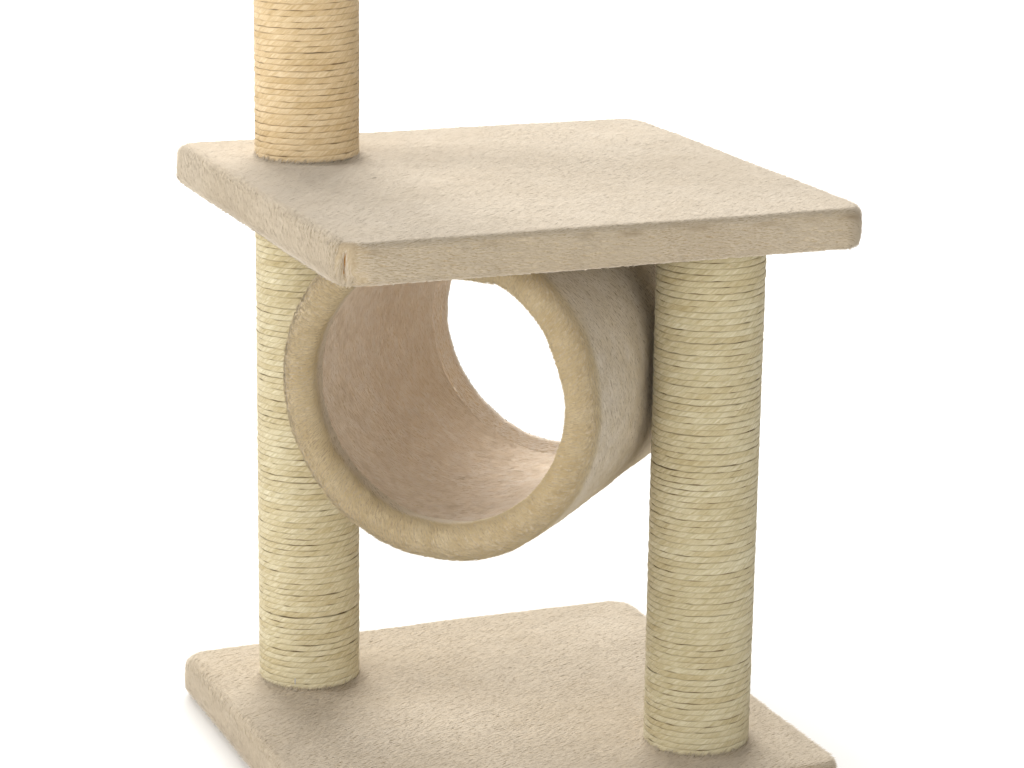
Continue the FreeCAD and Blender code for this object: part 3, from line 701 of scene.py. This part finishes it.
def sisal_rope(name, dark, middle, light):
    """Sisal: dry pale leaf fibre, laid in strands. Its 0.3 mm fibres are drawn at 0.8 mm, to be seen. Near
    the edges that meet the next turn, the dark colour is mixed in as painted shade.
    """
    made, tree = new_finish(name)
    fibre = add(tree, "Attribute", {}, attribute_name="fibre").outputs["Vector"]
    parts = add(tree, "SeparateXYZ", {0: fibre}).outputs
    long = add(tree, "Mapping", {"Vector": fibre, "Scale": (110, 1300, 0)}).outputs[0]
    hair = add(tree, "TexNoise", {"Vector": long, "Scale": 1.0, "Detail": 3.0, "Roughness": 0.6}).outputs[0]
    wide = add(tree, "Mapping", {"Vector": fibre, "Scale": (22, 60, 0)}).outputs[0]
    patch = add(tree, "TexNoise", {"Vector": wide, "Scale": 1.0, "Detail": 2.0}).outputs[0]
    fine = add(tree, "MapRange", {"Value": hair, "From Min": 0.3, "From Max": 0.7}).outputs[0]
    broad = add(tree, "MapRange", {"Value": patch, "From Min": 0.3, "From Max": 0.7}).outputs[0]
    colour = mix(tree, fine, linear(middle), linear(light))
    tint = mix(tree, broad, linear("#e9e2d2"), linear("#ffffff"))
    colour = mix(tree, 1.0, colour, tint, blend_type="MULTIPLY")
    # Painted shade: the dark colour where the rope meets the next turn.
    colour = mix(tree, parts[2], colour, linear(dark))
    bump = add(tree, "Bump", {"Height": hair, "Strength": 0.6, "Distance": 0.5 * MM}).outputs[0]
    surface(
        tree,
        {
            "Base Color": colour,
            "Roughness": 0.75,
            "IOR": 1.5,
            "Specular IOR Level": 0.3,
            "Sheen Weight": 0.1,
            "Normal": bump,
        },
    )
    return made


def wound_rope(post, finish, seed):
    """The rope of one post as a real helix, with its strands twisted and its ends sunk in the covers."""
    low, high = corners_of(post + "_rope")
    middle = (low + high) / 2
    core = width(post + "_tube") / 2
    bottom = low[2] - ROPE_SINK
    top = high[2] + ROPE_SINK
    turns = int((top - bottom - ROPE) / TURN_PITCH)
    pitch = (top - bottom - ROPE) / turns
    steps = turns * STEPS_IN_A_TURN + 1
    turn = np.arange(steps) / STEPS_IN_A_TURN
    angle = 2 * math.pi * turn
    girth = ROPE / 2 * (1 + 0.05 * slow_wave(turn, 0.06, seed) + 0.05 * slow_wave(turn, 0.23, seed + 1))
    reach = core + ROPE / 2 + 0.3 * MM * slow_wave(turn, 0.13, seed + 2)
    ends = np.clip(np.minimum(turn, turns - turn), 0, 1)
    wander = 0.35 * slow_wave(turn, 0.37, seed + 3) + 0.3 * slow_wave(turn, 0.11, seed + 8)
    rise = bottom + ROPE / 2 + pitch * turn + MM * ends * wander
    outward = np.stack([np.cos(angle), np.sin(angle), np.zeros(steps)], 1)
    centre = np.stack([middle[0] + 0 * turn, middle[1] + 0 * turn, rise], 1) + outward * reach[:, None]
    along = turn * 2 * math.pi * (core + ROPE / 2)
    twist = 2 * math.pi * along / ROPE_LAY + 0.5 * slow_wave(along, 60 * MM, seed + 4)
    round_it = 2 * math.pi * (np.arange(ROUND_A_ROPE) + 0.5) / ROUND_A_ROPE - math.pi
    spun = round_it[None, :] - twist[:, None]
    radius = girth[:, None] * (1 - STRAND_RIDGE + STRAND_RIDGE * np.cos(3 * spun))
    squared = [np.sign(v) * np.abs(v) ** ROPE_SQUASH for v in (np.cos(round_it), np.sin(round_it))]
    points = (
        centre[:, None]
        + outward[:, None] * (radius * squared[0])[..., None]
        + UP * (radius * squared[1])[..., None]
    )
    faces = loop_of_rings(steps, ROUND_A_ROPE)
    start = np.arange(ROUND_A_ROPE)[None]
    cut_ends = [start[:, ::-1], start + (steps - 1) * ROUND_A_ROPE]
    piece = mesh_piece(post + "_sisal", points.reshape(-1, 3), [faces, *cut_ends], finish)
    mesh = piece.data
    # Painted shade: broken dashes darken the rope near its upper and lower edges, where the turns meet.
    edge = np.clip(1.8 * np.sin(round_it) ** 2 - 0.1, 0, 1)
    broad = 0.8 * slow_wave(along, 40 * MM, seed + 6)
    upper, lower = (np.clip(2.1 * slow_wave(along, 6 * MM, seed + n) + broad - 0.1, 0, 1) for n in (5, 7))
    shadow = edge[None] * np.where(np.sin(round_it)[None] > 0, upper[:, None], lower[:, None])
    # The fibre attribute holds the distance along the rope, the distance round it, and the painted shade.
    fibre = np.stack([np.repeat(along, ROUND_A_ROPE), (spun * ROPE / 2).ravel(), shadow.ravel()], 1)
    store = mesh.attributes.new("fibre", "FLOAT_VECTOR", "POINT").data
    store.foreach_set("vector", fibre.astype(np.float32).ravel())
    one = np.arange(steps - 1)
    row, step = one // STEPS_IN_A_TURN, one % STEPS_IN_A_TURN
    u = np.stack([step, step, step + 1, step + 1], 1) / STEPS_IN_A_TURN
    lane = np.arange(ROUND_A_ROPE)
    v = np.stack([lane, lane + 1, lane + 1, lane], 1) / ROUND_A_ROPE
    across = np.repeat(u[:, None], ROUND_A_ROPE, 1)
    chart = np.stack([across, (row[:, None, None] + 0.05 + 0.9 * v[None]) / turns], -1).reshape(-1, 2)
    chart = np.concatenate([chart, np.full((2 * ROUND_A_ROPE, 2), 0.5)])
    mesh.uv_layers.new(name="turn_by_turn").uv.foreach_set("vector", chart.astype(np.float32).ravel())
    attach(piece, "root")
    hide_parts(post + "_rope")
    stray_fibres(post, centre[:-1], outward[:-1], seed + 9)


def stray_fibres(post, centre, outward, seed):
    """Loose fibres that stand off the rope of one post, each a thin spike 2 to 6 mm long."""
    draw = np.random.default_rng(seed)
    one_each = (HAIRS_ON_A_POST, 1)
    picked = draw.integers(0, len(centre), HAIRS_ON_A_POST)
    root = centre[picked]
    out = outward[picked]
    side = np.cross(UP, out)
    sense = draw.choice([-1, 1], HAIRS_ON_A_POST)[:, None]
    tilt = draw.normal(0, 0.35, one_each)
    way = unit(side * sense + UP * tilt + out * draw.uniform(0.0, 0.35, one_each))
    root = root + out * ROPE * 0.42 + UP * draw.uniform(-0.4, 0.4, one_each) * ROPE
    length = draw.uniform(2, 6, one_each) * MM
    across = unit(np.cross(way, out))
    lift = np.cross(across, way)
    base = [root + across * HAIR_GIRTH, root - across * HAIR_GIRTH, root + lift * HAIR_GIRTH]
    hairs = np.stack([*base, root + way * length], 1).reshape(-1, 3)
    fuzz = mesh_piece(post + "_sisal_hairs", hairs, [spike_faces(HAIRS_ON_A_POST)], sisal_hair)
    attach(fuzz, "root")


def loose_hair():
    """Single sisal fibres: paler than the rope and a little glossy."""
    made, tree = new_finish("sisal_loose_fibre")
    place = add(tree, "TexCoord", {}).outputs["Object"]
    varied = add(tree, "TexNoise", {"Vector": place, "Scale": 120.0}).outputs[0]
    colour = mix(tree, varied, linear("#b59a68"), linear("#f3e6c4"))
    surface(tree, {"Base Color": colour, "Roughness": 0.6, "IOR": 1.5})
    return made


sisal_hair = loose_hair()
wound_rope("left_post", sisal_rope("sisal_rope_straw", "#5f4c2a", "#b9ac85", "#dbd2b6"), 610)
wound_rope("right_post", sisal_rope("sisal_rope_straw_pale", "#5f4c2a", "#b0a47f", "#cec5a9"), 620)
wound_rope("upper_post", sisal_rope("sisal_rope_honey", "#6f5430", "#cbb084", "#e7d3b0"), 630)


# ---------------------------------------------------------------- tunnel
# A wide cardboard tube in plush. The outer plush is turned in over both mouths, which gives a thick round
# rim and, deeper in, a wavy crease where its hem ends on the lining. Bolts pull the tunnel flat against the
# platform, and the two lower posts squeeze it a little.

# The height is the axis's, and the flattening is given by the level that each radius can reach. All other
# numbers are lengths along the axis or radii from it: of the tube, the outer plush, its hems and the lining.
AROUND = 276
TUNNEL_STEP = 2.5 * MM
TUNNEL_AXIS = np.array([1, 1, 0]) / math.sqrt(2)
TUNNEL_SIDE = np.array([1, -1, 0]) / math.sqrt(2)
TUBE_OUTSIDE = 101.84 * MM
TUBE_END = 106.6 * MM
TUNNEL_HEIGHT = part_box("tunnel_tube")[0][2] + TUBE_OUTSIDE
PRESSED_RADII = (80 * MM, TUBE_OUTSIDE, 109 * MM)
PRESSED_LEVELS = (71 * MM, 92.84 * MM, 95.3 * MM)
HALF_LENGTH = 114.5 * MM - PILE_DEPTH
OUTER = 108.2 * MM
RIM_INNER = 85.8 * MM
HEM_ON_TUBE = 96.2 * MM
OVER_TUBE = 101.95 * MM
MOUTH_HEM = 25 * MM
HEM_ROLL = 1 * MM
HEM_EDGE = 90.9 * MM
FRONT_HEM = 88.2 * MM
BACK_HEM = 89.6 * MM
LINING_INNER = 90.3 * MM
LINING_OUTER = 96.1 * MM
LINING_REACH = 95 * MM

# The lining's and the back hem's colours are painted much lighter than the outer plush: painted light inside
# the tube, where little light reaches.
lining_pile_painted_light = plush_pile("plush_pile_lining_painted_light", "#cfb899", "#f5e2ca", "#fff2e2", 0.15, "#f6e6cd")
lining_backing_painted_light = plush_backing("plush_backing_lining_painted_light", "#d5bd98", "#ecd7b6")
shaded_pile = plush_pile("plush_pile_tunnel", "#b69e73", "#cebc99", "#e4d7c3", 0.25, "#efdfc0")


def tunnel_points(along, radius, angle):
    """Points from distances along the axis, radii and angles. Those near the platform are pressed flat."""
    level = np.minimum(radius * np.sin(angle), np.interp(radius, PRESSED_RADII, PRESSED_LEVELS))
    across = radius * np.cos(angle)
    return (
        along[..., None] * TUNNEL_AXIS
        + across[..., None] * TUNNEL_SIDE
        + (TUNNEL_HEIGHT + level)[..., None] * UP
    )


def spin(section):
    """A section turned about the tunnel's axis, as distances along it, radii and angles, ring by ring."""
    angle = 2 * math.pi * np.arange(AROUND) / AROUND
    along = np.repeat(np.array([p[0] for p in section])[:, None], AROUND, 1)
    radius = np.repeat(np.array([p[1] for p in section])[:, None], AROUND, 1)
    return along, radius, np.repeat(angle[None], len(section), 0)


def mirrored(section):
    """A section's points on the other side of the tunnel's middle, in the opposite order."""
    return [(-along, radius) for along, radius in section[::-1]]


def tunnel_plush():
    """The outer plush: one closed skin, over the outside and both rims, and back under the hems."""
    rim = (OUTER - RIM_INNER) / 2
    rim_start = HALF_LENGTH - rim
    hem_end = HALF_LENGTH - MOUTH_HEM

    def mouth(edge):
        """The points of one mouth, over the rim and in to the end of the hem, which lies at radius edge."""
        points = arc((rim_start, OUTER - rim), rim, 90, -90, 16)
        points += straight(points[-1], (hem_end + HEM_ROLL, edge), TUNNEL_STEP)
        points += arc((hem_end + HEM_ROLL, edge + HEM_ROLL), HEM_ROLL, -90, -180, 3)
        return points + [(hem_end, HEM_EDGE)]

    right = straight((-rim_start, OUTER), (rim_start, OUTER), TUNNEL_STEP) + mouth(BACK_HEM)
    hidden = [(hem_end + 0.5 * MM, HEM_ON_TUBE), (TUBE_END, HEM_ON_TUBE), (TUBE_END, OVER_TUBE)]
    hidden += mirrored(hidden)
    left = mirrored(mouth(FRONT_HEM)) + [(-rim_start, OUTER)]
    section = right + hidden + left
    along, radius, angle = spin(section)
    inner_fold = (radius < RIM_INNER + 5 * MM) & (np.abs(along) < rim_start)
    wave = slow_wave(angle[0] * 0.1, 25 * MM, 701)[None] + 0.5 * slow_wave(angle[0] * 0.1, 8 * MM, 702)[None]
    inward = np.clip((rim_start - np.abs(along)) / (15 * MM), 0, 1)
    along = along + np.sign(along) * np.where(inner_fold, 2.0 * MM * wave * inward, 0)
    squeeze = 3.6 * MM * bell(np.sin(angle), 0.25) * bell(along, 32 * MM)
    radius = radius - np.where(radius > OUTER - 1.5 * MM, squeeze, 0)
    points = tunnel_points(along, radius, angle).reshape(-1, 3)
    quads = loop_of_rings(len(section), AROUND, closed=True)[:, ::-1]
    seen_rings = np.zeros(len(section), bool)
    seen_rings[: len(right) - 1] = True
    seen_rings[len(section) - len(left) :] = True
    ring_of = np.repeat(np.arange(len(section)), AROUND)
    outside = quads[seen_rings[ring_of]]
    out = normals_of(points, outside)
    free = np.clip((TUNNEL_HEIGHT + 93 * MM - points[:, 2]) / (8 * MM), 0, 1)
    slack = 0.8 * MM * lumps(points, 40 * MM, 703) + 0.4 * MM * lumps(points, 12 * MM, 704)
    slack += 0.25 * MM * lumps(points, 5 * MM, 705)
    points = points + out * (slack * free)[:, None]
    return points, outside, [quads]


def tunnel_place(points):
    """Distance along the tunnel's axis and radius from it."""
    along = points @ TUNNEL_AXIS
    radius = np.hypot(points @ TUNNEL_SIDE, points[:, 2] - TUNNEL_HEIGHT)
    return along, radius


def comb_tunnel(root, out):
    """Outside and inside, the nap runs round the tube. On the rims it runs over from outside to inside."""
    along = root @ TUNNEL_AXIS
    spoke = root - along[:, None] * TUNNEL_AXIS - TUNNEL_HEIGHT * UP
    around = unit(np.cross(TUNNEL_AXIS, spoke))
    over = np.cross(around, out) * np.sign(along)[:, None]
    rim = np.clip(1.4 * np.abs(out @ TUNNEL_AXIS), 0, 1)[:, None]
    return around * (1 - 0.7 * rim) - over * 0.9 * rim


def comb_lining(root, out):
    """On the lining and the back hem, the nap runs round the tube."""
    return np.cross(TUNNEL_AXIS, out)


def build_outer_plush():
    """The outer plush and its pile. Its back hem takes the lining's colours, which are painted light."""
    points, outside, faces = tunnel_plush()
    piece = mesh_piece("tunnel_outer_cloth", points, faces, beige_backing, weld=True)
    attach(piece, "root")
    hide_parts("tunnel_outer_plush")
    along, radius = tunnel_place(middles_of(piece))
    # Painted light: the back hem's faces take the lining's lightened backing.
    second_finish(piece, lining_backing_painted_light, (along > 0) & (radius < 91 * MM) & (along < HALF_LENGTH - 3 * MM))
    ceiling = TUNNEL_HEIGHT + 94 * MM

    def shade(root, out):
        """Blotched, pale round the outside and darker on the rims."""
        along, radius = tunnel_place(root)
        rim = np.clip((np.abs(along) - (HALF_LENGTH - 16 * MM)) / (8 * MM), 0, 1)
        return 0.9 - 0.62 * rim + 0.12 * lumps(root, 60 * MM, 711) + 0.12 * lumps(root, 7 * MM, 712)

    def keep(root, out):
        """Nothing stands on the flat that lies against the platform, or on the cut ends of the hems."""
        along, radius = tunnel_place(root)
        cut = (radius < 93 * MM) & (np.abs(along) < 96 * MM) & (np.abs(out @ TUNNEL_AXIS) > 0.3)
        pressed = (root[:, 2] > ceiling) | ((out[:, 2] > 0.97) & (root[:, 2] > ceiling - 4 * MM))
        return ~(pressed | cut | back_hem(root, out))

    def back_hem(root, out):
        """The hem inside the back mouth, which has pile of its own."""
        along, radius = tunnel_place(root)
        return (along > 0) & (radius < 90.5 * MM) & (along < HALF_LENGTH - 4 * MM)

    locks = pile("tunnel_outer_pile", points, outside, shaded_pile, comb_tunnel, shade, keep, 720)
    # Painted light: the back hem's pile lies near the light end of the lining's colours, so that the hem
    # shows no shaded band.
    locks += pile(
        "tunnel_back_hem_pile", points, outside, lining_pile_painted_light, comb_lining,
        lambda root, out: 0.85 + 0.2 * lumps(root, 4 * MM, 726), back_hem, 725,
    )


def build_lining():
    """The lining, glued into the tube, and its pile. Their colours are painted light, lighter than the outer
    plush.
    """
    section = straight((-LINING_REACH, LINING_INNER), (LINING_REACH, LINING_INNER), TUNNEL_STEP)
    seen = len(section)
    section += [(LINING_REACH, LINING_OUTER), (-LINING_REACH, LINING_OUTER), (-LINING_REACH, LINING_INNER)]
    points = tunnel_points(*spin(section)).reshape(-1, 3)
    quads = loop_of_rings(len(section), AROUND, closed=True)
    ring_of = np.repeat(np.arange(len(section)), AROUND)
    inside = quads[ring_of < seen - 1]
    facing = normals_of(points, inside)
    slack = 0.6 * MM * lumps(points, 30 * MM, 731) + 0.3 * MM * lumps(points, 7 * MM, 732)
    points = points + facing * slack[:, None]
    lining = mesh_piece("tunnel_lining_cloth", points, [quads], lining_backing_painted_light, weld=True)
    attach(lining, "root")
    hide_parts("tunnel_lining")

    def shade(root, out):
        """Blotched, with fine dark and light tufts."""
        return 0.6 + 0.16 * lumps(root, 45 * MM, 741) + 0.26 * lumps(root, 4 * MM, 742)

    locks = pile(
        "tunnel_lining_pile", points, inside, lining_pile_painted_light, comb_lining, shade,
        lambda root, out: np.ones(len(root), bool), 750, rise=lambda root: 13.0,
    )


build_outer_plush()
build_lining()


# ---------------------------------------------------------------- fasteners
# Bolts, studs, captive nuts, washers and staples are steel with a thin bright zinc plating. They hold the
# boards, plugs, rope ends and hems, and nearly all of them are hidden.


def zinc_plated_steel():
    """Bright zinc: a bluish silver metal, satin, with faint cloudy patches from the bath."""
    made, tree = new_finish("zinc_plated_steel")
    place = add(tree, "TexCoord", {}).outputs["Object"]
    cloud = add(tree, "TexNoise", {"Vector": place, "Scale": 260.0, "Detail": 3.0}).outputs[0]
    colour = mix(tree, cloud, linear("#b9bcc0"), linear("#dcdde0"))
    rough = add(tree, "MapRange", {"Value": cloud, "To Min": 0.28, "To Max": 0.45}).outputs[0]
    surface(tree, {"Base Color": colour, "Metallic": 1.0, "Roughness": rough})
    return made


fasteners = [s["node"] for s in frame["record"]["subparts"] if s["material_slot"] == "zinc_steel"]
wear(fasteners, zinc_plated_steel())


# ---------------------------------------------------------------- floor, light and camera
# A white studio floor and a white surround. One large soft box stands high behind, and three small ones lift
# the left side, the tunnel's mouth and the front.

FLOOR_REACH = 4.6


def studio_floor():
    """Matt white paint: a plain pale floor with no pattern."""
    made, tree = new_finish("studio_floor_white")
    surface(tree, {"Base Color": linear("#eeedeb"), "Roughness": 0.9})
    return made


floor_mesh = bpy.data.meshes.new("studio_floor")
floor_corners = [(x * FLOOR_REACH, y * FLOOR_REACH, 0) for x, y in ((-1, -1), (1, -1), (1, 1), (-1, 1))]
floor_mesh.from_pydata(floor_corners, [], [(0, 1, 2, 3)])
floor_mesh.materials.append(studio_floor())
floor = bpy.data.objects.new("studio_floor", floor_mesh)
bpy.context.scene.collection.objects.link(floor)


def soft_box(name, spot, aim, across, watts):
    """A square soft box, hidden from the camera."""
    data = bpy.data.lights.new(name, "AREA")
    data.size, data.energy = across, watts
    lamp = bpy.data.objects.new(name, data)
    lamp.location = spot
    lamp.rotation_euler = (Vector(aim) - Vector(spot)).to_track_quat("-Z", "Y").to_euler()
    lamp.visible_camera = False
    bpy.context.scene.collection.objects.link(lamp)


soft_box("back_soft_box", (1.08, 4.32, 2.54), (0, 0, 0.2), 3.6, 395)
soft_box("left_soft_box", (-2.4, 1.2, 1.6), (0, 0, 0.3), 1.6, 43)
soft_box("mouth_soft_box", (-1.7, -1.9, 0.75), (0, 0, 0.3), 1.4, 28)
soft_box("front_soft_box", (0.2, -2.5, 0.45), (0, 0, 0.25), 1.4, 10)

# The surround lights the piece at half the strength that it is seen with, which keeps the background white.
world = bpy.data.worlds.new("studio_world")
world.use_nodes = True
sky = world.node_tree.nodes["Background"]
sky.inputs["Color"].default_value = linear("#fffefc")
seen = world.node_tree.nodes.new("ShaderNodeLightPath").outputs["Is Camera Ray"]
strength = add(world.node_tree, "MapRange", {"Value": seen, "To Min": 0.5, "To Max": 1.0}).outputs[0]
world.node_tree.links.new(strength, sky.inputs["Strength"])
bpy.context.scene.world = world

CAMERA_SPOT = (-0.7016, -1.7019, 0.7494)
CAMERA_HEADING = 0.39471
CAMERA_TILT = -0.26308
CAMERA_ROLL = 0.01455
SENSOR_WIDTH = 36
LENS = 101.31

heading, tilt = CAMERA_HEADING, CAMERA_TILT
ahead = Vector((math.sin(heading) * math.cos(tilt), math.cos(heading) * math.cos(tilt), math.sin(tilt)))
level = Vector((math.cos(heading), -math.sin(heading), 0))
overhead = level.cross(ahead)
right = level * math.cos(CAMERA_ROLL) + overhead * math.sin(CAMERA_ROLL)
top = overhead * math.cos(CAMERA_ROLL) - level * math.sin(CAMERA_ROLL)
camera_data = bpy.data.cameras.new("camera")
camera_data.sensor_width, camera_data.lens = SENSOR_WIDTH, LENS
camera = bpy.data.objects.new("camera", camera_data)
turned = Matrix((right, top, -ahead)).transposed().to_4x4()
camera.matrix_world = Matrix.Translation(CAMERA_SPOT) @ turned
bpy.context.scene.collection.objects.link(camera)
bpy.context.scene.camera = camera
bpy.context.scene.view_settings.view_transform = "Standard"
